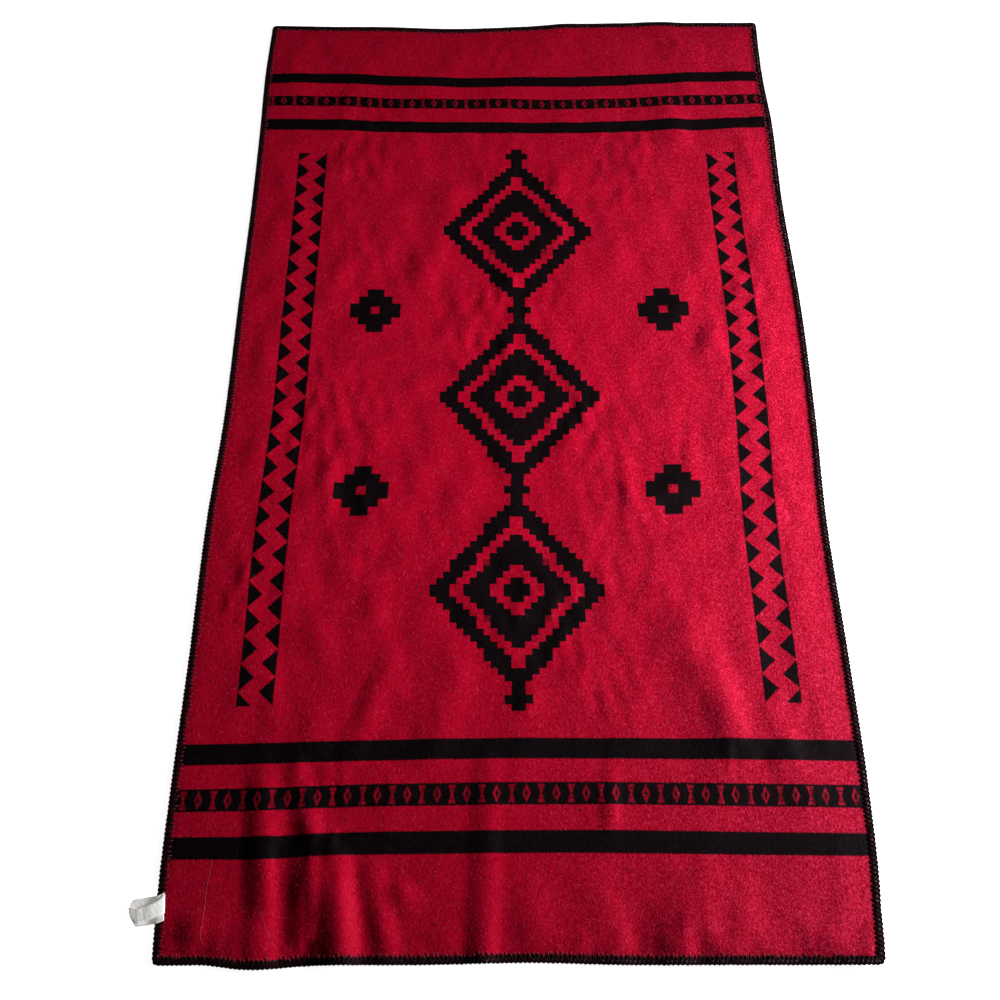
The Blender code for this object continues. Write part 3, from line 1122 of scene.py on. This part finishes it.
def satin(settings):
    """White satin ribbon with a fine cross weave and soft creases, with painted shade on its
    lower layer and in its creases, and a faint glow of its own.
    """
    material, g = finish("label_satin")
    place = g.node("ShaderNodeTexCoord")["Object"]
    weft = g.turned(place, (0, 0, radians(-15)), (4.0, 1.0, 1.0))
    threads = g.noise(weft, 3400.0, detail=1.0)
    crumple = g.noise(place, 230.0, distortion=0.4)
    # painted shade: the satin is greyed in the hollows of its crumple and on the lower layer
    # before the fold
    shade = limited(crumple - 0.40 + g.attribute("Bright side") * 0.6)
    white = g.mixed(shade, (0.56, 0.54, 0.52, 1), colour(settings.white))
    sockets = {
        "Base Color": white,
        "Roughness": 0.42 + (threads - 0.5) * 0.2,
        "Specular IOR Level": 0.25,
        # painted light: the satin glows faintly with its own light, lifting its shade
        "Emission Color": white,
        "Emission Strength": 0.30,
        "Normal": g.bump(0.3, 0.0007, threads * 0.12 + crumple),
    }
    shown(g, g.principled(sockets))
    return material


def pale_floor(glow):
    material, g = finish("pale_floor")
    sockets = {
        "Base Color": (0.86, 0.86, 0.855, 1),
        "Roughness": 0.9,
        "Specular IOR Level": 0.1,
        "Emission Color": (1, 1, 1, 1),
        "Emission Strength": glow,
    }
    shown(g, g.principled(sockets))
    return material


# ---------------------------------------------------------------- node trees of the repeats


def make_real(g, source, sockets):
    """Ends a tree: copies set on points, made real meshes, in the finish that is its input."""
    spread = g.node("GeometryNodeInstanceOnPoints", None, sockets)["Instances"]
    real = g.node("GeometryNodeRealizeInstances", None, {"Geometry": spread})["Geometry"]
    sockets = {"Geometry": real, "Material": source["Finish"]}
    done = g.node("GeometryNodeSetMaterial", None, sockets)["Geometry"]
    g.node("NodeGroupOutput", None, {"Geometry": done})
    return g.tree


def nap_tree():
    """Bent fibres scattered over one colour of the cloth's face."""
    inlets = {"Density": "Float", "Length": "Float", "On black": "Float"}
    inlets |= {"Seed": "Int", "Fibre": "Object", "Finish": "Material"}
    g, source = new_geometry_tree("Loose nap", inlets)
    settings = {"distribute_method": "RANDOM"}
    sockets = {"Mesh": source["Geometry"], "Density": source["Density"], "Seed": source["Seed"]}
    scattered = g.node("GeometryNodeDistributePointsOnFaces", settings, sockets)
    u, v, _ = g.apart(g.read("Cloth", "FLOAT_VECTOR"))
    wrong = abs(black_share(u, v) - source["On black"])
    sockets = {"Geometry": scattered["Points"], "Selection": wrong < 0.5}
    kept = g.node("GeometryNodeSeparateGeometry", {"domain": "POINT"}, sockets)["Selection"]

    # most fibres lean with the brushing, some lie anywhere
    nap_lean_and_sheen = g.random(0.9, 2.9, 11) + g.random(-1.0, 1.0, 12) ** 3 * 1.5
    turn = g.together(g.random(-0.25, 0.25, 13), g.random(-0.12, 0.06, 14), nap_lean_and_sheen)
    sockets = {"Rotation": turn, "Vector": scattered["Normal"]}
    upright = g.node("FunctionNodeAlignRotationToVector", {"axis": "Z"}, sockets)["Rotation"]
    fibre = g.node("GeometryNodeObjectInfo", None, {"Object": source["Fibre"]})["Geometry"]
    size = source["Length"] * g.random(0.6, 1.5, 15)
    return make_real(g, source, {
        "Points": kept,
        "Instance": fibre,
        "Rotation": upright,
        "Scale": g.together(size, size, size * g.random(0.7, 1.3, 16)),
    })


def fibre_mesh():
    """One fibre a unit long: a bent three-sided spindle of six faces."""
    turns = (0, 2.1, 4.2)
    thick = 0.020
    ring = [(0.02 + 0.03 * sin(a), 0.13 + thick * cos(a), 0.085 + thick * sin(a)) for a in turns]
    points = [(-0.5, 0.0, 0.0), *ring, (0.5, -0.02, 0.01)]
    faces = [(0, 1, 2), (0, 2, 3), (0, 3, 1), (4, 2, 1), (4, 3, 2), (4, 1, 3)]
    return smooth_mesh("fibre", points, faces)


def stitch_curve(g, count, shape):
    """A curve of count points whose places are shape(t), for t from 0 to 1 along it."""
    line = g.node("GeometryNodeCurvePrimitiveLine")["Curve"]
    line = g.node("GeometryNodeResampleCurve", None, {"Curve": line, "Count": count})["Curve"]
    t = g.node("GeometryNodeSplineParameter")["Factor"]
    x, y, z, radius = shape(t)
    sockets = {"Geometry": line, "Position": g.together(x, y, z)}
    line = g.node("GeometryNodeSetPosition", None, sockets)["Geometry"]
    return g.node("GeometryNodeSetCurveRadius", None, {"Curve": line, "Radius": radius})["Curve"]


def yarn_skin(g, line, sides, source, twist=YARN_TWIST, wear_and_glint=0.0):
    """A flat closed yarn round a curve; its twist and the painted glint on its crest are kept as
    attributes.
    """
    sockets = {"Resolution": sides, "Radius": 0.5}
    profile = g.node("GeometryNodeCurvePrimitiveCircle", None, sockets)["Curve"]
    flat = g.together(source["Yarn width"], source["Yarn height"], 1.0)
    sockets = {"Geometry": profile, "Scale": flat}
    profile = g.node("GeometryNodeTransform", None, sockets)["Geometry"]
    around = g.node("GeometryNodeSplineParameter")["Factor"] * (4 * pi)

    def kept(geometry, name, value):
        settings = {"data_type": "FLOAT", "domain": "POINT"}
        sockets = {"Geometry": geometry, "Name": name, "Value": value}
        return g.node("GeometryNodeStoreNamedAttribute", settings, sockets)["Geometry"]

    profile = kept(profile, "Round x", g.maths("COSINE", around))
    profile = kept(profile, "Round y", g.maths("SINE", around))
    spline = g.node("GeometryNodeSplineParameter")
    line = kept(line, "Run", spline["Length"])
    # the crest of the leg, which takes the painted glint
    line = kept(line, "Crest", limited(1.0 - abs(spline["Factor"] - 0.32) * 9.0) * wear_and_glint)
    sockets = {"Curve": line, "Profile Curve": profile, "Fill Caps": True}
    skin = g.node("GeometryNodeCurveToMesh", None, sockets)["Mesh"]
    phase = g.read("Run") * twist
    ply = g.read("Round x") * g.maths("COSINE", phase)
    ply = ply - g.read("Round y") * g.maths("SINE", phase)
    return kept(skin, "Ply", ply * 0.5 + 0.5)


def stitch_tree(name, pieces):
    """Copies of a stitch set at even steps along the cut edge, each a little uneven."""
    inlets = ("Pitch", "Reach", "Yarn width", "Yarn height", "Half rise", "Unevenness")
    inlets = {**dict.fromkeys(inlets, "Float"), "Seed": "Int", "Finish": "Material"}
    g, source = new_geometry_tree(name, inlets)
    edge = g.node("GeometryNodeMeshToCurve", None, {"Mesh": source["Geometry"]})["Curve"]
    sockets = {"Curve": edge, "Length": source["Pitch"]}
    steps = g.node("GeometryNodeResampleCurve", {"mode": "LENGTH"}, sockets)["Curve"]
    settings = {"primary_axis": "Y", "secondary_axis": "Z"}
    tangent = g.node("GeometryNodeInputTangent")["Tangent"]
    sockets = {"Primary Axis": tangent, "Secondary Axis": (0, 0, 1)}
    along = g.node("FunctionNodeAxesToRotation", settings, sockets)["Rotation"]

    def random(seed):
        amount = source["Unevenness"]
        return g.random(0.0 - amount, amount, source["Seed"] + seed)

    sockets = {"Rotation": along, "Rotate By": g.together(0.0, random(1) * 0.5, random(2))}
    settings = {"rotation_space": "LOCAL"}
    uneven = g.node("FunctionNodeRotateRotation", settings, sockets)["Rotation"]
    stitch = g.node("GeometryNodeJoinGeometry", None, {"Geometry": pieces(g, source)})["Geometry"]
    return make_real(g, source, {
        "Points": steps,
        "Instance": stitch,
        "Rotation": uneven,
        "Scale": g.together(random(3) + 1.0, 1.0, random(4) * 0.7 + 1.0),
    })


def stitch_leg(g, source, side):
    """One of the two legs of a stitch: from its needle hole over the edge and back underneath."""

    def shape(t):
        c = g.maths("COSINE", t * pi)
        inward = c * c
        x = source["Reach"] * inward - STITCH_OUT * (1.0 - inward)
        y = (1.0 - inward**3) * source["Pitch"] * 0.25 * side
        dive = 1.0 - inward**8 * 0.55
        z = g.maths("SINE", c * (pi / 2)) * source["Half rise"] * dive
        return x, y, z, 1.0 - inward**2 * 0.70

    # only the second leg of each stitch takes the painted glint
    wear_and_glint = 1.0 if side > 0 else 0.0
    return [yarn_skin(g, stitch_curve(g, 12, shape), 6, source, wear_and_glint=wear_and_glint)]


def first_leg(g, source):
    return stitch_leg(g, source, -1)


def second_leg(g, source):
    return stitch_leg(g, source, 1)


def stitch_tufts(g, source):
    """The thin pale tuft of nap that stands up between two stitches."""
    tufts = []
    for start, end, aside in TUFTS:

        def shape(t, start=start, end=end, aside=aside):
            x = start + t * (end - start)
            y = source["Pitch"] * 0.5 + aside * t * 2.0
            z = source["Half rise"] + t * 0.0004
            return x, y, z, 0.35 + g.maths("SINE", t * pi) * 0.65

        tufts.append(yarn_skin(g, stitch_curve(g, 4, shape), 3, source, twist=0.0))
    return tufts


def stitch_loops(g, source):
    """The loop that locks one stitch to the next along the outer edge."""

    def shape(t):
        swing = g.maths("SINE", t * pi)
        x = 0.0019 - swing * 0.0032
        y = (t - 0.5) * source["Pitch"] * 1.45
        z = source["Half rise"] * (1.05 - t * 0.95) + swing * 0.0003
        return x, y, z, 0.72 + swing * 0.28

    return [yarn_skin(g, stitch_curve(g, 7, shape), 6, source)]


# ---------------------------------------------------------------- operators


class BLANKET_OT_cloth(bpy.types.Operator):
    """Weave the cloth: one closed sheet with its creases, its napped finish and its pattern"""

    bl_idname = "blanket.cloth"
    bl_label = "Wool Cloth"
    bl_options = {"REGISTER", "UNDO"}

    def execute(self, context):
        across, along = cloth_grid()
        x, y, rise = surface(across, along)
        inset = np.minimum(
            np.minimum(across - across.min(), across.max() - across),
            np.minimum(along - along.min(), along.max() - along),
        )
        pinch = (1 - eased((inset - PINCH_WIDTH) / PINCH_RISE)) * (CLOTH - PRESSED) * 0.75
        relief = np.clip((RELIEF - inset) / (RELIEF - BAND), 0, 1) * (CLOTH - PRESSED)
        step = UNDERSIDE_STEP
        upper = centred(x, y, rise + CLOTH - pinch)
        lower = centred(x, y, rise + relief * 0.6)[::step, ::step]
        points, faces = closed_sheet(upper, lower, step)
        wool = napped_wool(context.scene.blanket_wool)
        mesh = smooth_mesh("wool_cloth_face", points, faces, wool)
        flat = np.stack((across, flat_along(x, y, across)), -1)
        flat = np.concatenate((flat.reshape(-1, 2), flat[::step, ::step].reshape(-1, 2)))
        lay_flat(mesh, flat)
        keep_number(mesh, "Upper", np.arange(len(points)) < across.size)

        piece = add_piece("wool_cloth_face", mesh)
        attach(piece, "root")
        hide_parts("wool_cloth")
        return {"FINISHED"}


class BLANKET_OT_nap(bpy.types.Operator):
    """Scatter the loose fibres of the nap over the red and the black of the face"""

    bl_idname = "blanket.nap"
    bl_label = "Loose Nap"
    bl_options = {"REGISTER", "UNDO"}

    def face_only(self, name):
        """The open upper side of the cloth inside the edging, with its flat coordinates."""
        across, along = cloth_grid(RIM_LINES)
        x, y, rise = surface(across, along)
        points = centred(x, y, rise + CLOTH - NAP_ROOT).reshape(-1, 3)
        index = np.arange(across.size).reshape(across.shape)
        mesh = smooth_mesh(name, points, quads(index).tolist())
        lay_flat(mesh, np.stack((across, flat_along(x, y, across)), -1).reshape(-1, 2))
        return mesh

    def threads(self):
        """The few loose threads, each a thin tube that follows the cloth."""
        points, faces = [], []
        around = np.linspace(0, 2 * pi, 6)[:-1]
        for half_width, *places in THREADS:
            x, y = np.concatenate(places).T
            at = np.linspace(0, len(x) - 1, 6 * len(x))
            x, y = curve(np.arange(len(x)), x, at), curve(np.arange(len(y)), y, at)
            middle = centred(x, y, lying_lift(x, y) + CLOTH + half_width * 1.4)
            run = np.gradient(middle, axis=0)
            above = np.array((0, 0, 1))
            aside = unit(np.cross(run, above))
            tapered = np.sin(np.linspace(0.15, pi - 0.15, len(at))) ** 0.5
            thin = half_width * tapered[:, None, None]
            ring = np.cos(around)[None, :, None] * aside[:, None]
            ring = ring + np.sin(around)[None, :, None] * above
            more_points, more_faces = swept(middle[:, None] + ring * thin)
            faces += [tuple(corner + len(points) for corner in face) for face in more_faces]
            points += [tuple(point) for point in more_points]
        pale = fibre_finish("thread", (0.36, 0.085, 0.115))
        piece = add_piece("loose_threads", smooth_mesh("loose_threads", points, faces, pale))
        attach(piece, "root")

    def execute(self, context):
        self.threads()
        nap = context.scene.blanket_nap
        tree = nap_tree()
        fibre = add_piece("fibre", fibre_mesh())
        kinds = (
            # name, density, on black, seed, colour
            ("nap_pale", nap.light_density, 0.0, 3, (0.50, 0.020, 0.066)),
            ("nap_deep", nap.deep_density, 0.0, 4, (0.20, 0.0003, 0.0080)),
            ("nap_grey", nap.grey_density, 1.0, 5, (0.0090, 0.0048, 0.0058)),
        )
        for name, density, on_black, seed, value in kinds:
            values = {
                "Density": density,
                "Length": nap.fibre_length,
                "On black": on_black,
                "Seed": seed,
                "Fibre": fibre,
                "Finish": fibre_finish(name, value),
            }
            piece = grown(name, self.face_only(name), tree, values)
            if "Cloth" in piece.data.attributes:
                piece.data.attributes.remove(piece.data.attributes["Cloth"])
            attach(piece, "root")
        bpy.data.objects.remove(fibre)
        return {"FINISHED"}


def rim_path(spacing):
    """Places on the even rectangle round the cut edge, clockwise from the near right corner."""
    r = CORNER_RADIUS
    x, y = WIDTH / 2 - OVERHANG - r, LENGTH / 2 - OVERHANG - r
    corners = (
        # the middle of its arc, the turn at its start and at its end
        (x, -y, 0, -pi / 2),
        (-x, -y, -pi / 2, -pi),
        (-x, y, pi, pi / 2),
        (x, y, pi / 2, 0),
    )
    loop = []
    for centre_x, centre_y, start, end in corners:
        arc = np.linspace(start, end, max(3, round(r * pi / 2 / spacing)))
        loop += [(centre_x + r * cos(a), centre_y + r * sin(a)) for a in arc]
    loop = np.array(loop)
    filled = []
    for start, end in zip(loop, np.roll(loop, -1, axis=0)):
        count = max(1, round(np.hypot(*(end - start)) / spacing))
        filled += [start + (end - start) * i / count for i in range(count)]
    filled = np.array(filled)
    return filled[:, 0], filled[:, 1] + LENGTH / 2


class BLANKET_OT_edging(bpy.types.Operator):
    """Sew the black yarn edging: the yarn laid round the cut edge, its stitches and its loops"""

    bl_idname = "blanket.edging"
    bl_label = "Yarn Edging"
    bl_options = {"REGISTER", "UNDO"}

    def path(self, height, spacing):
        """Part-frame points round the cut edge at a height above the cloth's lift."""
        across, along = rim_path(spacing)
        return centred(*placed(across, along), edge_lift(across, along) + height)

    def band(self, material):
        """The yarn that lies round the edge under the stitches' legs."""
        section = np.array(BAND_SECTION)
        edge = self.path(0.0, BAND_SPACING)
        tangent = np.roll(edge, -1, axis=0) - np.roll(edge, 1, axis=0)
        inward = unit(np.stack((tangent[:, 1], -tangent[:, 0]), -1))
        sections = np.repeat(edge[:, None], len(section), axis=1)
        sections[:, :, :2] += inward[:, None] * section[None, :, :1]
        sections[:, :, 2] += section[None, :, 1]
        points, faces = swept(sections, closed=True)
        return add_piece("edging_band", smooth_mesh("edging_band", points, faces, material))

    def execute(self, context):
        settings = context.scene.blanket_edging
        yarn = edging_yarn(settings)
        band = self.band(yarn)
        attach(band, "root")
        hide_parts("yarn_edging")
        tuft = fibre_finish("tuft", (0.22, 0.030, 0.050))
        kinds = (
            # name, part of the stitch, width, height and unevenness of its yarn, seed, finish
            ("edging_first_legs", first_leg, settings.yarn, 0.0016, 0.11, 21, yarn),
            ("edging_second_legs", second_leg, settings.yarn, 0.0016, 0.11, 21, yarn),
            ("edging_loops", stitch_loops, settings.yarn * 0.62, 0.0015, 0.10, 22, yarn),
            ("edging_tufts", stitch_tufts, 0.0009, 0.0006, 0.16, 23, tuft),
        )
        points = self.path(STITCH_MIDDLE, STITCH_SPACING)
        steps = [(i, (i + 1) % len(points)) for i in range(len(points))]
        shown_at = (points[:, 0] < BRUSHED_OVER[0]) | (points[:, 1] > BRUSHED_OVER[1])
        open_steps = [(i, j) for i, j in steps if shown_at[i] and shown_at[j]]
        for name, parts, width, height, unevenness, seed, skin in kinds:
            mesh = bpy.data.meshes.new(name)
            edges = open_steps if parts is stitch_tufts else steps
            mesh.from_pydata([tuple(p) for p in points], edges, [])
            values = {
                "Pitch": settings.pitch,
                "Reach": settings.reach,
                "Yarn width": width,
                "Yarn height": height,
                "Half rise": STITCH_HALF_RISE,
                "Unevenness": unevenness,
                "Seed": seed,
                "Finish": skin,
            }
            piece = grown(name, mesh, stitch_tree(name, parts), values)
            piece.data.shade_smooth()
            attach(piece, "root")
        return {"FINISHED"}


class BLANKET_OT_label(bpy.types.Operator):
    """Fold the bare white satin care label and sew it to the left side"""

    bl_idname = "blanket.label"
    bl_label = "Care Label"
    bl_options = {"REGISTER", "UNDO"}

    def execute(self, context):
        settings = context.scene.blanket_label
        run = np.array(LABEL_RUN)
        row = np.arange(len(run))
        at = np.linspace(0, len(run) - 1, LABEL_ROWS)
        far = np.stack([curve(row, run[:, k], at) for k in (0, 1, 4)], -1)
        near = np.stack([curve(row, run[:, k], at) for k in (2, 3, 4)], -1)
        sideways = np.linspace(0, 1, LABEL_COLUMNS)[None, :, None]
        middle = far[:, None] * (1 - sideways) + near[:, None] * sideways
        crease = swell(middle[..., 0], middle[..., 1] + at[:, None] * 0.01, *LABEL_CREASES)
        middle[..., 2] += crease * 0.00008 * np.clip((middle[..., 2] - 0.0012) / 0.003, 0, 1)
        run_along, run_across = np.gradient(middle, axis=0), np.gradient(middle, axis=1)
        out = np.cross(run_across, run_along)
        out *= settings.thickness / 2 / np.linalg.norm(out, axis=-1)[..., None]
        upper, lower = (centred(*np.moveaxis(middle + side * out, -1, 0)) for side in (1, -1))
        points, faces = closed_sheet(upper, lower, 1)
        mesh = smooth_mesh("care_label_ribbon", points, faces, satin(settings))
        past_fold = np.clip(at - LABEL_FOLD - 4, 0, 1)
        # the run past the fold is kept out of the painted shade of the lower layer
        keep_number(mesh, "Bright side", np.tile(np.repeat(past_fold, LABEL_COLUMNS), 2))
        piece = add_piece("care_label_ribbon", mesh)
        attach(piece, "root")
        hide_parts("care_label")
        return {"FINISHED"}


class BLANKET_OT_stage(bpy.types.Operator):
    """Set out the pale floor, the soft lights and the camera"""

    bl_idname = "blanket.stage"
    bl_label = "Floor, Lights and Camera"
    bl_options = {"REGISTER", "UNDO"}

    def light(self, name, place, aim, power):
        made = bpy.data.objects.new(name, bpy.data.lights.new(name, "AREA"))
        made.data.shape = "RECTANGLE"
        made.data.size, made.data.size_y = LIGHT_SIZE
        made.data.energy = power
        made.location = place
        made.rotation_euler = (Vector(aim) - Vector(place)).to_track_quat("-Z", "Y").to_euler()
        made.data.spread = LIGHT_SPREAD
        bpy.context.scene.collection.objects.link(made)

    def camera(self, lens):
        turn = Matrix.Rotation(CAMERA_TURN, 3, "Z")
        level = turn @ Vector((1, 0, 0))
        ahead = turn @ Vector((0, cos(CAMERA_DOWN), -sin(CAMERA_DOWN)))
        above = turn @ Vector((0, sin(CAMERA_DOWN), cos(CAMERA_DOWN)))
        right = cos(CAMERA_ROLL) * level - sin(CAMERA_ROLL) * above
        up = sin(CAMERA_ROLL) * level + cos(CAMERA_ROLL) * above
        made = bpy.data.objects.new("camera", bpy.data.cameras.new("camera"))
        made.data.sensor_fit = "HORIZONTAL"
        made.data.sensor_width = SENSOR
        made.data.lens = lens
        place = Matrix.Translation(centred(*CAMERA_PLACE).tolist())
        made.matrix_world = place @ Matrix((right, up, -ahead)).transposed().to_4x4()
        bpy.context.scene.collection.objects.link(made)
        bpy.context.scene.camera = made

    def execute(self, context):
        settings = context.scene.blanket_stage
        floor = bpy.data.meshes.new("floor")
        far, level = FLOOR_HALF, FLOOR_LEVEL
        corners = [(-far, -far, level), (far, -far, level), (far, far, level), (-far, far, level)]
        floor.from_pydata(corners, [], [(0, 1, 2, 3)])
        floor.materials.append(pale_floor(settings.floor_glow))
        add_piece("floor", floor)
        place, aim = centred(*LIGHT_PLACE).tolist(), centred(*LIGHT_AIM).tolist()
        self.light("window", place, aim, settings.key_power)
        world = bpy.data.worlds.new("room")
        world.use_nodes = True
        sky = world.node_tree.nodes["Background"].inputs
        sky["Color"].default_value = (1, 1, 1, 1)
        sky["Strength"].default_value = settings.fill
        context.scene.world = world
        context.scene.view_settings.view_transform = "Standard"
        self.camera(settings.lens)
        return {"FINISHED"}


class BLANKET_PT_panel(bpy.types.Panel):
    """Lists the blanket's settings and the pieces to build"""

    bl_idname = "BLANKET_PT_panel"
    bl_label = "Wool Blanket"
    bl_space_type = "VIEW_3D"
    bl_region_type = "UI"
    bl_category = "Blanket"

    def draw(self, context):
        for operator, group in STEPS:
            box = self.layout.box()
            box.operator(operator)
            settings = getattr(context.scene, group)
            for name in settings.__annotations__:
                box.prop(settings, name)


STEPS = (
    # operator, its settings on the scene
    ("blanket.cloth", "blanket_wool"),
    ("blanket.nap", "blanket_nap"),
    ("blanket.edging", "blanket_edging"),
    ("blanket.label", "blanket_label"),
    ("blanket.stage", "blanket_stage"),
)
GROUPS = {
    "blanket_wool": BlanketWool,
    "blanket_nap": BlanketNap,
    "blanket_edging": BlanketEdging,
    "blanket_label": BlanketLabel,
    "blanket_stage": BlanketStage,
}
CLASSES = (
    *GROUPS.values(),
    BLANKET_OT_cloth,
    BLANKET_OT_nap,
    BLANKET_OT_edging,
    BLANKET_OT_label,
    BLANKET_OT_stage,
    BLANKET_PT_panel,
)


def register():
    for made in CLASSES:
        bpy.utils.register_class(made)
    for name, group in GROUPS.items():
        setattr(bpy.types.Scene, name, bpy.props.PointerProperty(type=group))


def unregister():
    for name in GROUPS:
        delattr(bpy.types.Scene, name)
    for made in reversed(CLASSES):
        bpy.utils.unregister_class(made)


def main():
    register()
    bpy.ops.blanket.cloth()
    bpy.ops.blanket.nap()
    bpy.ops.blanket.edging()
    bpy.ops.blanket.label()
    bpy.ops.blanket.stage()


if __name__ == "__main__":
    main()
